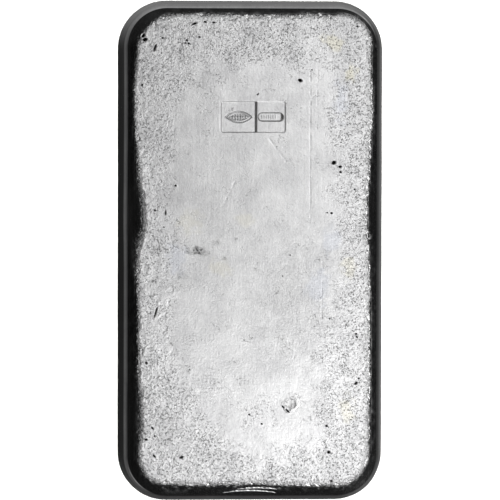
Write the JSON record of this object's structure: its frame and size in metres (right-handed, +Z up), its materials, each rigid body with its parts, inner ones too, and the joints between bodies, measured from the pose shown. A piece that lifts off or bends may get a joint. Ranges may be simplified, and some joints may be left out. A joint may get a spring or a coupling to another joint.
{
  "type": "cast silver ingot",
  "caption": "Rectangular cast silver bar with rounded corners, drafted walls and punch marks near one end of its flat face, for storing and melting metal.",
  "frame": {"origin": "middle of the underside, on the level that the bar lies on", "axes": "+Y along the length, towards the end with the punch marks; +X across the width; +Z up, out of the flat marked face"},
  "size_m": [0.0602, 0.1136, 0.0148],
  "materials": {
    "cast_silver": "satin"
  },
  "bodies": {
    "root": {"ingot": "cast_silver"}
  },
  "joints": []
}
